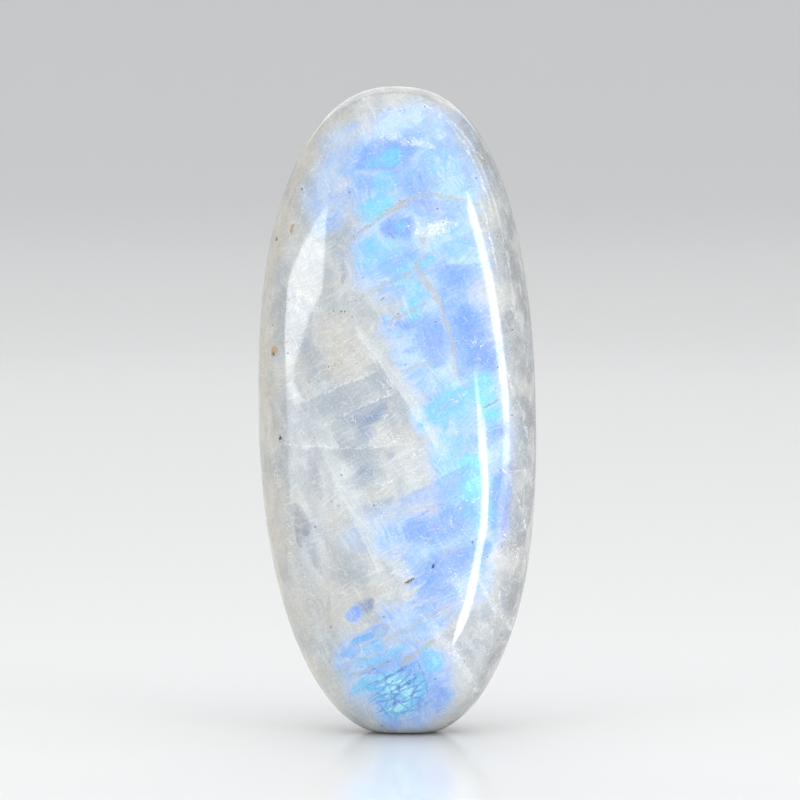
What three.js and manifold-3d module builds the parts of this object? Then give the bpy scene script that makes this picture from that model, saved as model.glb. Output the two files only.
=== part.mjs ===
// A polished moonstone: one elongated oval, domed on both faces, that stands on a small flat at its
// lower end. Lengths are millimetres and +Z is up. -Y is the brighter face. The origin lies on the
// flat's plane, under the middle of the stone's outline.
import * as THREE from "three";
import { mergeVertices } from "three/addons/utils/BufferGeometryUtils.js";
import Module from "manifold-3d";

// Overall size.
const STONE_HEIGHT = 50;
const STONE_WIDTH = 21.44;
const STONE_DEPTH = 13.4;

// The outline is a superellipse above its widest level and a slightly leaner one below it. The full
// oval would reach a little under the surface that the stone stands on: that tip is ground flat.
const WAIST_HEIGHT = 24.25;
const FLAT_CUT = 0.5;
const CROWN_POWER = 2.36;
const FOOT_POWER = 2.23;

// Seen from the side the ends are a little blunter, and a level section has fuller shoulders than an
// ellipse. The stone is thicker towards its right edge, by this share of the depth on each side.
const SIDE_POWER = 2.42;
const SECTION_POWER = 2.25;
const THICKER_RIGHT = 0.1;

// The long axis is a little bent: both ends sit to the right of the middle, the lower one further.
const AXIS_BOW = 0.226;
const AXIS_LEAN = 0.296;
const LEAN_SHARPNESS = 2.4;

// Broad, shallow unevenness left by hand polishing: its height, and how often it comes and goes
// along each of the two slants.
const POLISH_WAVE = 0.05;
const WAVE_ACROSS = { x: 5.2, z: 2.3 };
const WAVE_ALONG = { y: 4.1, z: -6.4 };

// Small places where the polish missed a crack or an inclusion fell out. x and z say where on the
// face, wide and tall are the size of the hollow, and turn is its slant in degrees.
const HOLLOWS = [
  { face: -1, x: -8.9, z: 23.1, wide: 0.42, tall: 0.62, deep: 0.2, turn: 0 },
  { face: -1, x: -9.4, z: 29.7, wide: 0.55, tall: 0.8, deep: 0.18, turn: -25 },
  { face: -1, x: -8.0, z: 39.2, wide: 0.3, tall: 0.75, deep: 0.14, turn: -20 },
  { face: -1, x: 0.8, z: 12.4, wide: 0.75, tall: 0.3, deep: 0.14, turn: 25 },
  { face: -1, x: 2.75, z: 13.7, wide: 0.3, tall: 0.6, deep: 0.12, turn: -30 },
  { face: -1, x: -7.6, z: 15.6, wide: 0.45, tall: 1.7, deep: 0.16, turn: 12 },
  { face: -1, x: 8.55, z: 37.9, wide: 0.75, tall: 1.0, deep: 0.16, turn: 30 },
  { face: 1, x: -3.1, z: 33.6, wide: 0.5, tall: 0.9, deep: 0.16, turn: 40 },
  { face: 1, x: 4.4, z: 14.8, wide: 0.8, tall: 0.35, deep: 0.15, turn: 20 },
];

const SPHERE_DETAIL = 16;
const HOLLOW_SIDES = 12;
const HOLLOW_RINGS = 8;
const WELD_DISTANCE = 1e-5;
const SLOPE_STEP = 0.01;

const halfWidth = STONE_WIDTH / 2;
const halfDepth = STONE_DEPTH / 2;
const crownReach = STONE_HEIGHT - WAIST_HEIGHT;
const footReach = WAIST_HEIGHT + FLAT_CUT;

const wasm = await Module();
wasm.setup();

// How far the outline and the side profile reach at a level from 0 at the waist to 1 at an end, as
// shares of their widest, and how far the axis is off the middle there.
function sectionAt(height) {
  const power = height >= 0 ? CROWN_POWER : FOOT_POWER;
  const level = Math.min(Math.abs(height), 1);
  return {
    outline: (1 - level ** power) ** (1 / power),
    profile: (1 - level ** SIDE_POWER) ** (1 / SIDE_POWER),
    bend: AXIS_BOW * height ** 2 - AXIS_LEAN * Math.tanh(LEAN_SHARPNESS * height),
  };
}

// The stone's surface in the direction (x, y, z), a point of the unit sphere.
function surfacePoint(x, y, z) {
  const power = z >= 0 ? CROWN_POWER : FOOT_POWER;
  const side = (Math.abs(x) ** SECTION_POWER + Math.abs(y) ** SECTION_POWER) ** (1 / SECTION_POWER);
  const reach = (side ** power + Math.abs(z) ** power) ** (-1 / power);
  const height = Math.max(-1, Math.min(1, z * reach));
  const { outline, profile, bend } = sectionAt(height);
  const bluntness = outline > 0 ? profile / outline : 1;
  const wave =
    POLISH_WAVE *
    Math.sin(WAVE_ACROSS.x * x + WAVE_ACROSS.z * z) *
    Math.sin(WAVE_ALONG.y * y + WAVE_ALONG.z * z);
  const across = (halfWidth * reach + wave) * x;
  const thickness = 1 + (THICKER_RIGHT * across) / halfWidth;
  return new THREE.Vector3(
    across + bend,
    (halfDepth * reach * bluntness + wave) * y * thickness,
    WAIST_HEIGHT + (z >= 0 ? crownReach : footReach) * height,
  );
}

// A closed three.js geometry as a manifold solid.
function solidOf(geometry) {
  const bare = geometry.clone();
  bare.deleteAttribute("normal");
  bare.deleteAttribute("uv");
  const merged = mergeVertices(bare, WELD_DISTANCE);
  const indices = merged.index ?? { array: merged.attributes.position.array.map((_, i) => i) };
  return new wasm.Manifold(
    new wasm.Mesh({
      numProp: 3,
      vertProperties: merged.attributes.position.array,
      triVerts: new Uint32Array(indices.array),
    }),
  );
}

// The full oval, before its tip is ground and its hollows are taken out.
function ovalSolid() {
  const geometry = new THREE.IcosahedronGeometry(1, SPHERE_DETAIL);
  const position = geometry.attributes.position;
  for (let i = 0; i < position.count; i++) {
    const point = surfacePoint(position.getX(i), position.getY(i), position.getZ(i));
    position.setXYZ(i, point.x, point.y, point.z);
  }
  return solidOf(geometry);
}

// Where the line through (x, z) along Y leaves the chosen face, and the outward normal there.
function placeOnFace({ face, x, z }) {
  const depthAt = (px, pz) => {
    const height = (pz - WAIST_HEIGHT) / (pz >= WAIST_HEIGHT ? crownReach : footReach);
    const { outline, profile, bend } = sectionAt(height);
    const across = (px - bend) / halfWidth;
    const share = Math.min(Math.abs(across) / outline, 1);
    const thickness = 1 + THICKER_RIGHT * across;
    return face * halfDepth * profile * thickness * (1 - share ** SECTION_POWER) ** (1 / SECTION_POWER);
  };
  const slopeX = (depthAt(x + SLOPE_STEP, z) - depthAt(x - SLOPE_STEP, z)) / (2 * SLOPE_STEP);
  const slopeZ = (depthAt(x, z + SLOPE_STEP) - depthAt(x, z - SLOPE_STEP)) / (2 * SLOPE_STEP);
  const normal = new THREE.Vector3(-slopeX, 1, -slopeZ).multiplyScalar(face).normalize();
  return { point: new THREE.Vector3(x, depthAt(x, z), z), normal };
}

// A small ellipsoid centred on the surface, flat along the normal and turned about it.
function hollowSolid(hollow) {
  const { point, normal } = placeOnFace(hollow);
  const turn = THREE.MathUtils.degToRad(hollow.turn);
  const geometry = new THREE.SphereGeometry(1, HOLLOW_SIDES, HOLLOW_RINGS);
  geometry.scale(hollow.wide / 2, hollow.deep, hollow.tall / 2);
  geometry.rotateY(turn);
  const facing = new THREE.Quaternion().setFromUnitVectors(
    new THREE.Vector3(0, hollow.face, 0),
    normal,
  );
  geometry.applyQuaternion(facing);
  geometry.translate(point.x, point.y, point.z);
  return solidOf(geometry);
}

// Everything below the plane that the stone stands on.
function groundTip() {
  const size = 2 * STONE_WIDTH;
  const geometry = new THREE.BoxGeometry(size, size, size);
  geometry.translate(0, 0, -size / 2);
  return solidOf(geometry);
}

function stoneGeometry() {
  let stone = ovalSolid().subtract(groundTip());
  for (const hollow of HOLLOWS) stone = stone.subtract(hollowSolid(hollow));
  const mesh = stone.getMesh();
  const geometry = new THREE.BufferGeometry();
  geometry.setAttribute("position", new THREE.BufferAttribute(mesh.vertProperties, 3));
  geometry.setIndex(new THREE.BufferAttribute(mesh.triVerts, 1));
  geometry.computeBoundingBox();
  const middle = geometry.boundingBox.getCenter(new THREE.Vector3());
  geometry.translate(-middle.x, -middle.y, 0);
  geometry.computeVertexNormals();
  return geometry;
}

const moonstone = new THREE.Mesh(
  stoneGeometry(),
  new THREE.MeshStandardMaterial({ color: 0xb9c3d6, roughness: 0.12, metalness: 0 }),
);
moonstone.name = "moonstone";

const part = new THREE.Group();
part.add(moonstone);

export default part;
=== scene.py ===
"""Looks of a polished moonstone that stands on its lower end, in metres, +Z up, best face to -Y."""

import math

import bmesh
import bpy
from mathutils import Matrix, Vector, noise


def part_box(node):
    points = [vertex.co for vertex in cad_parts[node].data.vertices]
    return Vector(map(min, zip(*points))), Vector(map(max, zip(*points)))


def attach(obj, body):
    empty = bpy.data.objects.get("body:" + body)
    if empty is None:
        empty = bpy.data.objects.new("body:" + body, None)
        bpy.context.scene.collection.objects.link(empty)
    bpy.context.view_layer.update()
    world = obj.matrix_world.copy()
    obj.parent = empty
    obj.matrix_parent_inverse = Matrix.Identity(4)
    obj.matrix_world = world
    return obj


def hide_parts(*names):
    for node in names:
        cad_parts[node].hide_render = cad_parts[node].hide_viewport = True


MM = 0.001

# The two faces, by the sign of Y: the best one is in front.
FRONT, BACK = -1, 1

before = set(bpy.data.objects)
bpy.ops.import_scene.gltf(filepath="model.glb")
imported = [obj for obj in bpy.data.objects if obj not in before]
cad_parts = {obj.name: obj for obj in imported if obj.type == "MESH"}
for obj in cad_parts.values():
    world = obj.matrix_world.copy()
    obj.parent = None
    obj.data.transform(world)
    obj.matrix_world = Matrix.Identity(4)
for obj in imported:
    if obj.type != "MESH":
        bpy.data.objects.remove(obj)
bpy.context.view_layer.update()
STONE_LOW, STONE_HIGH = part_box("moonstone")

# ---------------------------------------------------------------------------------------------
# The stone's form, in millimetres. It is fitted to the solid's own box once it is shaped.
# ---------------------------------------------------------------------------------------------

STONE_HEIGHT = (STONE_HIGH.z - STONE_LOW.z) / MM
STONE_WIDTH = (STONE_HIGH.x - STONE_LOW.x) / MM
STONE_DEPTH = 13.4

# The widest level, and how much of the full oval's lower tip is pressed flat.
WAIST_HEIGHT = 0.485 * STONE_HEIGHT
FLAT_CUT = 0.01 * STONE_HEIGHT

# The outline is a superellipse above its widest level and a leaner one below it. From the side the
# ends are a little blunter, and a level section has fuller shoulders than an ellipse. The stone is
# thicker towards its right edge, by this share of its depth on each side.
CROWN_POWER = 2.36
FOOT_POWER = 2.23
SIDE_POWER = 2.42
SECTION_POWER = 2.25
THICKER_RIGHT = 0.1

# The long axis is a little bent: both ends sit to the right of the middle, the lower one further.
AXIS_BOW = 0.226
AXIS_LEAN = 0.296
LEAN_SHARPNESS = 2.4

# Broad, shallow unevenness left by hand polishing, and a finer one that only the highlights show.
POLISH_WAVE = 0.05
WAVE_ACROSS = Vector((5.2, 0.0, 2.3))
WAVE_ALONG = Vector((0.0, 4.1, -6.4))
FINE_WAVE = 0.012
FINE_WAVE_SIZE = 3.2

# How high the rounding goes round the edge of the flat that the stone stands on.
FOOT_SOFTNESS = 0.18

# Each hollow: the face it is on, where its middle is across and up, how wide, tall and deep it is,
# and its slant in degrees.
HOLLOWS = [
    dict(face=FRONT, x=-8.9, z=23.1, wide=0.42, tall=0.62, deep=0.2, turn=0),
    dict(face=FRONT, x=-9.4, z=29.7, wide=0.55, tall=0.8, deep=0.18, turn=-25),
    dict(face=FRONT, x=-8.0, z=39.2, wide=0.3, tall=0.75, deep=0.14, turn=-20),
    dict(face=FRONT, x=0.8, z=12.4, wide=0.75, tall=0.3, deep=0.14, turn=25),
    dict(face=FRONT, x=2.75, z=13.7, wide=0.3, tall=0.6, deep=0.12, turn=-30),
    dict(face=FRONT, x=-7.6, z=15.6, wide=0.45, tall=1.7, deep=0.16, turn=12),
    dict(face=FRONT, x=8.55, z=37.9, wide=0.75, tall=1.0, deep=0.16, turn=30),
    dict(face=BACK, x=-3.1, z=33.6, wide=0.5, tall=0.9, deep=0.16, turn=40),
    dict(face=BACK, x=4.4, z=14.8, wide=0.8, tall=0.35, deep=0.15, turn=20),
]

# How far round a hollow the mesh is made finer, and how often; how ragged its edge is, and how many
# crumbs there are to a millimetre.
HOLLOW_REACH = 1.7
HOLLOW_LEVELS = 2
HOLLOW_ROUGHNESS = 0.35
HOLLOW_CRUMBS = 7.0

# How many times the faces of the ball that the stone is shaped from are divided.
BALL_LEVELS = 7


def stone_point(direction):
    """The point of the full oval, its lower tip still on, in that direction of the unit ball."""
    x, y, z = direction
    half_width, half_depth = STONE_WIDTH / 2, STONE_DEPTH / 2
    power = CROWN_POWER if z >= 0 else FOOT_POWER
    side = (abs(x) ** SECTION_POWER + abs(y) ** SECTION_POWER) ** (1 / SECTION_POWER)
    reach = (side**power + abs(z) ** power) ** (-1 / power)
    height = max(-1.0, min(1.0, z * reach))
    level = abs(height)
    outline = (1 - level**power) ** (1 / power)
    profile = (1 - level**SIDE_POWER) ** (1 / SIDE_POWER)
    bend = AXIS_BOW * height**2 - AXIS_LEAN * math.tanh(LEAN_SHARPNESS * height)
    wave = POLISH_WAVE * math.sin(WAVE_ACROSS.dot(direction)) * math.sin(WAVE_ALONG.dot(direction))
    across = (half_width * reach + wave) * x
    thickness = 1 + THICKER_RIGHT * across / half_width
    bluntness = profile / outline if outline > 0 else 1.0
    upper, lower = STONE_HEIGHT - WAIST_HEIGHT, WAIST_HEIGHT + FLAT_CUT
    return Vector(
        (
            across + bend,
            (half_depth * reach * bluntness + wave) * y * thickness,
            WAIST_HEIGHT + (upper if z >= 0 else lower) * height,
        )
    )


def fit_to_solid(bm):
    """Centres the shaped stone on the solid's box and takes up the last hundredths of a millimetre."""
    low = Vector([min(v.co[i] for v in bm.verts) for i in range(3)])
    high = Vector([max(v.co[i] for v in bm.verts) for i in range(3)])
    sizes = [(STONE_HIGH[i] - STONE_LOW[i]) / (high[i] - low[i]) for i in range(3)]
    bmesh.ops.translate(bm, verts=bm.verts, vec=-(low + high) / 2)
    bmesh.ops.scale(bm, verts=bm.verts, vec=sizes)
    bmesh.ops.translate(bm, verts=bm.verts, vec=(STONE_LOW + STONE_HIGH) / 2)


def near_hollow(hollow, point, reach):
    """How far into the hollow a point of the surface is: 1 at its middle, 0 at reach times its size."""
    turn = math.radians(hollow["turn"])
    dx, dz = point.x / MM - hollow["x"], point.z / MM - hollow["z"]
    across = (dx * math.cos(turn) + dz * math.sin(turn)) / (hollow["wide"] / 2)
    along = (-dx * math.sin(turn) + dz * math.cos(turn)) / (hollow["tall"] / 2)
    return max(0.0, 1 - math.hypot(across, along) / reach)


def press_hollow(bm, hollow):
    """A small ragged pit: the mesh is made finer round it and pushed in along its normals."""
    reach = HOLLOW_REACH * max(hollow["wide"], hollow["tall"]) / 2 * MM
    middle = Vector((hollow["x"], 0, hollow["z"])) * MM

    def around():
        return [
            v
            for v in bm.verts
            if v.co.y * hollow["face"] > 0
            and abs(v.co.x - middle.x) < reach
            and abs(v.co.z - middle.z) < reach
        ]

    for _ in range(HOLLOW_LEVELS):
        edges = list({edge for v in around() for edge in v.link_edges})
        bmesh.ops.subdivide_edges(bm, edges=edges, cuts=1, use_grid_fill=True)
        bmesh.ops.triangulate(bm, faces=[f for f in bm.faces if len(f.verts) > 3])
    bm.normal_update()
    moves = []
    for v in around():
        ragged = 1 + HOLLOW_ROUGHNESS * noise.noise(v.co / MM * HOLLOW_CRUMBS)
        share = near_hollow(hollow, v.co, ragged)
        moves.append((v, -v.normal * hollow["deep"] * MM * math.sqrt(1 - (1 - share) ** 2)))
    for v, move in moves:
        v.co += move


def polished_stone():
    """The full oval with its tip pressed flat, shaped from an even ball."""
    bm = bmesh.new()
    bmesh.ops.create_icosphere(bm, subdivisions=BALL_LEVELS, radius=1.0)
    for v in bm.verts:
        v.co = stone_point(v.co.normalized())
        v.co.z = (v.co.z + math.hypot(v.co.z, 2 * FOOT_SOFTNESS)) / 2
    fit_to_solid(bm)
    bm.normal_update()
    for v in bm.verts:
        if v.co.z > STONE_LOW.z + FLAT_CUT * MM:
            v.co += v.normal * FINE_WAVE * MM * noise.noise(v.co / MM / FINE_WAVE_SIZE)
    for hollow in HOLLOWS:
        press_hollow(bm, hollow)
    bmesh.ops.recalc_face_normals(bm, faces=bm.faces)
    for face in bm.faces:
        face.smooth = True
    mesh = bpy.data.meshes.new("polished_stone")
    bm.to_mesh(mesh)
    bm.free()
    stone = bpy.data.objects.new("polished_stone", mesh)
    bpy.context.scene.collection.objects.link(stone)
    return stone


# ---------------------------------------------------------------------------------------------
# Shader maths
# ---------------------------------------------------------------------------------------------


class Wire:
    """The value on one socket. Sums, products and comparisons of wires add their Math nodes."""

    def __init__(self, patterns, socket):
        self.patterns, self.socket = patterns, socket

    def math(self, operation, *values):
        return self.patterns.node("ShaderNodeMath", {"operation": operation}, dict(enumerate(values)))

    def __add__(self, other):
        return self.math("ADD", self, other)

    def __radd__(self, other):
        return self.math("ADD", other, self)

    def __sub__(self, other):
        return self.math("SUBTRACT", self, other)

    def __rsub__(self, other):
        return self.math("SUBTRACT", other, self)

    def __mul__(self, other):
        return self.math("MULTIPLY", self, other)

    def __rmul__(self, other):
        return self.math("MULTIPLY", other, self)

    def __truediv__(self, other):
        return self.math("DIVIDE", self, other)

    def __pow__(self, other):
        return self.math("POWER", self, other)

    def __abs__(self):
        return self.math("ABSOLUTE", self)

    def at_least(self, other):
        return self.math("MAXIMUM", self, other)

    def distance(self, place):
        return self.patterns.vector("DISTANCE", self, place, output="Value")

    def minus(self, place):
        return self.patterns.vector("SUBTRACT", self, place)

    def along(self, direction):
        return self.patterns.vector("DOT_PRODUCT", self, direction, output="Value")

    def step(self, start, end, low=0.0, high=1.0):
        """Goes smoothly from low where the value is start to high where it is end."""
        return self.patterns.node(
            "ShaderNodeMapRange",
            {"interpolation_type": "SMOOTHSTEP", "clamp": False},
            {"Value": self, "From Min": start, "From Max": end, "To Min": low, "To Max": high},
        )


class Patterns:
    """A node tree, and the few kinds of pattern that the stone is made of."""

    def __init__(self, tree):
        self.tree = tree
        tree.nodes.clear()

    def node(self, kind, settings=None, inputs=None, output=0):
        made = self.tree.nodes.new(kind)
        for name, value in (settings or {}).items():
            setattr(made, name, value)
        for name, value in (inputs or {}).items():
            if isinstance(value, Wire):
                self.tree.links.new(value.socket, made.inputs[name])
            else:
                made.inputs[name].default_value = value
        return Wire(self, made.outputs[output])

    def vector(self, operation, *values, output="Vector"):
        return self.node("ShaderNodeVectorMath", {"operation": operation}, dict(enumerate(values)), output)

    def scaled(self, vector, factor):
        return self.node("ShaderNodeVectorMath", {"operation": "SCALE"}, {0: vector, "Scale": factor})

    def place(self, point, location=(0, 0, 0), turns=(0, 0, 0), size=(1, 1, 1)):
        """The point as seen from a frame at that place, turned by degrees about X, Y and Z and scaled."""
        rotation = [math.radians(turn) for turn in turns]
        inputs = {"Vector": point, "Location": location, "Rotation": rotation, "Scale": size}
        return self.node("ShaderNodeMapping", {"vector_type": "TEXTURE"}, inputs)

    def parts(self, vector, kind="ShaderNodeSeparateXYZ"):
        first = self.node(kind, None, {0: vector})
        return [Wire(self, socket) for socket in first.socket.node.outputs]

    def channels(self, colour):
        return self.parts(colour, "ShaderNodeSeparateColor")

    def noise(self, point, size, detail, roughness=0.5, output="Fac"):
        inputs = {"Vector": point, "Scale": 1 / size, "Detail": detail, "Roughness": roughness}
        return self.node("ShaderNodeTexNoise", {"noise_dimensions": "3D"}, inputs, output)

    def mix(self, factor, a, b):
        settings = {"data_type": "RGBA", "clamp_factor": True}
        return self.node("ShaderNodeMix", settings, {0: factor, 6: a, 7: b}, 2)


def shared_group(name, places, values, draw):
    """A node group with one output, which draw makes from its inputs, first places and then values."""
    tree = bpy.data.node_groups.new(name, "ShaderNodeTree")
    for label in places + values:
        kind = "NodeSocketVector" if label in places else "NodeSocketFloat"
        tree.interface.new_socket(label, in_out="INPUT", socket_type=kind)
    tree.interface.new_socket(name, in_out="OUTPUT", socket_type="NodeSocketFloat")
    patterns = Patterns(tree)
    inside = patterns.node("NodeGroupInput").socket.node.outputs
    result = draw(*[Wire(patterns, inside[label]) for label in places + values])
    tree.links.new(result.socket, tree.nodes.new("NodeGroupOutput").inputs[0])
    return tree


def shade(red, green, blue):
    """A linear colour from the 0 to 255 values that a paint chart gives."""

    def linear(value):
        value /= 255
        return value / 12.92 if value <= 0.04045 else ((value + 0.055) / 1.055) ** 2.4

    return (linear(red), linear(green), linear(blue), 1.0)


# ---------------------------------------------------------------------------------------------
# Moonstone
# ---------------------------------------------------------------------------------------------

# How far the marks of the two faces run into each other, and how far what runs through the stone has
# moved for each millimetre that it goes in behind the middle.
FACE_OVERLAP = 0.9
PLANE_SLANT = Vector((0.3, 0.0, -0.55))

# The slant of the main cleavage in degrees, and that of the steeper one that crosses it.
CLEAVAGE_TURN = 29.0
STEEP_TURN = 63.0

# The length of a strand's ovals and of a ledge's, as shares of what they span, and how sharp a ledge is.
NEEDLE_REACH = 0.56
LEDGE_REACH = 1.15
LEDGE_EDGE = 0.07

# Three noises that are used throughout: how big their waves are, and how far they push what is drawn.
BROAD_SIZE, BROAD_PUSH = 2.6, 1.6
CLOSE_SIZE, CLOSE_PUSH = 1.1, 0.6
SMALL_SIZE, SMALL_PUSH = 0.14, 0.35

# What follows the cleavages: the size of its noise, and how it is stretched along and across them.
FIBRE_SIZE, FIBRE_STRETCH = 0.2, (12.0, 3.0, 1.0)
SILK_SIZE, SILK_STRETCH = 0.2, (1.0, 3.0, 10.0)
PLATE_SIZE, PLATE_STRETCH = 0.9, (4.5, 2.5, 1.0)
BAND_SIZE, BAND_STRETCH = 2.4, (1.0, 2.0, 2.4)
BAR_SIZE, BAR_STRETCH = 0.5, (14.0, 4.0, 1.0)

# Mosaics of cells: how big the cells are and how much longer than wide, how wide the lines between
# them are as a share of a cell, and how far from even the cells lie.
CRYSTAL_SIZE, CRYSTAL_LENGTH = 0.95, 2.0
NET_SIZE, NET_LENGTH, NET_WIDTH = 0.85, 2.2, 0.13
STEEP_NET_SIZE, STEEP_NET_LENGTH, STEEP_NET_WIDTH = 0.9, 2.4, 0.05
WEB_SIZE, WEB_LENGTH = 0.62, 2.6
CROSS_WEB_SIZE, CROSS_WEB_LENGTH = 0.7, 2.8
CROSS_WEB_TURN = CLEAVAGE_TURN + 92
HAIRLINE_WIDTH = 0.05
DUST_SPACING = 1.9
DISORDER = 0.9

# The cloudy rind on the rim between the faces: how far from the middle it starts and is full, how much
# narrower it is at the two ends and how much wider to the right, how far its edge wanders, and the
# streaks that run round it.
RIND_START, RIND_FULL = 5.1, 3.0
RIND_AT_ENDS, RIND_RIGHT, RIND_WANDER = 2.3, 0.06, 1.6
STREAK_SIZE, STREAK_STRETCH = 0.5, (0.12, 0.9, 0.12)
STREAKS_ROUND = 4.5

# The polish: how rough it is where it is good, and how much rougher where it is scratched, grainy or
# missing, how far from its middle a hollow is dull as a share of its size, and the scratches.
POLISHED, SCRATCHED, GRAINY, UNPOLISHED = 0.075, 0.07, 0.02, 0.4
DULL_REACH = 0.6
SCRATCH_TURN = 64
SCRATCH_SIZE, SCRATCH_STRETCH = 0.24, (9.0, 9.0, 0.6)
SCRATCH_DEPTH = 0.002
SCRATCH_STRENGTH = 0.35

# The stone's index of refraction, the share of the light that goes a little way in under the surface,
# and how far it goes in millimetres, with a factor for each colour.
REFRACTION = 1.53
MILKINESS = 0.28
MILK_DEPTH = 0.7
MILK_DEPTH_BY_COLOUR = (1.0, 1.0, 1.1)

# How bright the stone is at least, and how much its grain and its fibres add.
DIMMEST, GRAIN_LIGHT, FIBRE_LIGHT = 0.59, 0.52, 0.16

# Colours of the milk, the rind and the marks on them, and then of the sheen.
MILK = shade(200, 205, 207)
MILK_DEEP = shade(170, 179, 188)
MILK_WARM = shade(205, 200, 189)
CLOUD = shade(220, 226, 227)
RIND = shade(196, 191, 178)
# Painted shade: the darker grey that the rind takes on its right side.
RIND_SHADED = shade(138, 142, 146)
# Darker streaks in the rind, and painted shade along its right edge.
RIND_DARK = shade(104, 108, 112)
RIND_PALE = shade(210, 208, 202)
FRACTURE = shade(236, 240, 241)
SEAM = shade(186, 185, 174)
SMUDGE = shade(130, 150, 184)
SMOKE = shade(142, 147, 158)
OCHRE = shade(196, 162, 104)
RUST = shade(66, 42, 20)

# Painted sheen: the stone's blue glow, from its haze to its glints, with its violet and dark-blue lines,
# painted into its colour.
SHEEN_HAZE = shade(190, 205, 232)
SHEEN_PALE = shade(188, 213, 243)
SHEEN_MID = shade(158, 194, 243)
SHEEN_DEEP = shade(120, 160, 240)
SHEEN_CYAN = shade(120, 206, 248)
SHEEN_GLINT = shade(176, 240, 252)
VIOLET = shade(150, 150, 240)
INK = shade(84, 112, 212)

# The colours of the veins from the lowest up, and how far each covers what is under it; the dark-blue and
# violet ones are painted sheen.
# Then the colours of the straight edges, also from the lowest up; the last three are painted sheen.
VEIN_COVERS = ((SEAM, 0.66), (FRACTURE, 0.85), (INK, 0.85), (VIOLET, 0.85))
LEDGE_COLOURS = (MILK_DEEP, SMUDGE, CLOUD, SHEEN_DEEP, VIOLET, SHEEN_CYAN)

# All but the specks are drawn on the best face, and show on the other face too, shifted by what the
# slant of the crystal's planes brings. Soft ovals where the stone shows its sheen: middle across and
# up, half width, half height, slant in degrees and strength.
SHEEN_FIELDS = [
    (1.4, 43.4, 7.4, 6.4, 0, 1.0),
    (2.3, 46.6, 4.9, 3.2, 0, 0.8),
    (1.7, 37.4, 6.8, 5.8, 0, 1.0),
    (3.9, 30.4, 5.4, 6.8, 15, 1.0),
    (5.8, 21.6, 4.6, 8.4, 0, 1.0),
    (3.6, 14.0, 5.2, 5.6, 10, 1.0),
    (0.6, 16.2, 3.6, 2.4, 28, 0.7),
    (1.3, 9.6, 3.6, 3.2, 0, 0.75),
    (0.3, 4.8, 5.6, 4.8, 0, 1.0),
    (1.5, 2.6, 4.0, 2.8, 25, 0.9),
    (-2.9, 6.6, 2.8, 2.4, 30, 0.8),
    (-3.1, 9.8, 1.0, 0.9, 60, 0.75),
    (-1.9, 8.2, 1.9, 1.0, 28, 0.6),
    (-0.4, 17.2, 4.8, 2.6, 28, 0.4),
    (-4.6, 43.0, 3.4, 5.2, -20, 0.55),
    (1.4, 29.0, 1.9, 4.8, 34, 0.7),
    (3.4, 25.4, 2.8, 2.2, 30, 0.9),
]

# Where the sheen is a deeper blue, and where it flashes: the same values.
DEEP_PLACES = [
    (-1.0, 44.7, 2.7, 1.7, 22, 0.8),
    (-3.2, 42.0, 2.0, 1.6, 20, 0.4),
    (1.6, 42.4, 2.6, 2.4, 10, 0.55),
    (0.2, 39.3, 1.5, 1.2, 0, 0.85),
    (0.9, 32.0, 1.3, 0.9, 10, 0.8),
    (0.4, 36.6, 2.6, 1.9, 10, 0.4),
    (2.8, 30.8, 1.9, 2.8, 18, 0.75),
    (6.0, 31.2, 2.4, 3.4, 18, 1.0),
    (4.6, 35.4, 2.6, 2.6, 18, 0.7),
    (8.2, 17.8, 1.7, 3.6, 0, 1.0),
    (6.0, 23.2, 2.6, 1.7, 20, 0.45),
    (3.4, 17.0, 3.8, 2.6, 20, 0.85),
    (4.0, 13.8, 3.8, 2.0, 24, 0.75),
    (3.0, 11.0, 2.7, 2.3, 0, 0.65),
    (3.0, 3.0, 2.4, 2.2, 0, 0.6),
    (-1.6, 6.6, 2.4, 1.8, 0, 0.2),
    (-3.1, 9.8, 0.9, 0.8, 60, 0.8),
    (-1.9, 8.2, 1.7, 0.8, 28, 0.9),
    (-3.4, 6.9, 1.2, 0.8, 28, 0.6),
]
FLASH_PLACES = [
    (-0.5, 44.8, 1.0, 0.8, 20, 0.85),
    (-1.6, 44.3, 1.3, 0.8, 20, 0.55),
    (-1.0, 42.6, 1.3, 1.6, -25, 0.7),
    (-1.6, 40.7, 1.9, 1.3, 20, 0.85),
    (-1.6, 37.6, 2.6, 1.8, 10, 0.5),
    (0.8, 36.4, 2.2, 1.2, 0, 0.5),
    (0.6, 34.0, 2.0, 2.4, 15, 0.6),
    (4.2, 42.2, 2.0, 3.8, 28, 0.28),
    (0.4, 39.4, 0.6, 0.5, 0, 0.6),
    (4.4, 38.4, 2.4, 2.6, 20, 0.35),
    (6.4, 27.0, 1.4, 1.7, 0, 0.85),
    (3.6, 25.6, 2.6, 1.9, 30, 0.55),
    (7.0, 25.0, 1.5, 1.5, 0, 0.95),
    (5.9, 20.4, 1.7, 2.4, 0, 1.05),
    (4.0, 21.0, 3.0, 3.6, 0, 0.4),
    (6.4, 17.6, 1.8, 1.6, 20, 0.5),
    (-0.9, 4.6, 2.8, 1.0, 25, 0.9),
    (0.2, 3.6, 3.0, 2.9, 30, 1.4),
    (2.6, 6.2, 1.6, 1.5, 30, 1.1),
    (-2.2, 7.6, 2.2, 1.0, 28, 0.4),
    (-1.3, 6.3, 2.2, 1.1, 28, 0.5),
]

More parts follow.
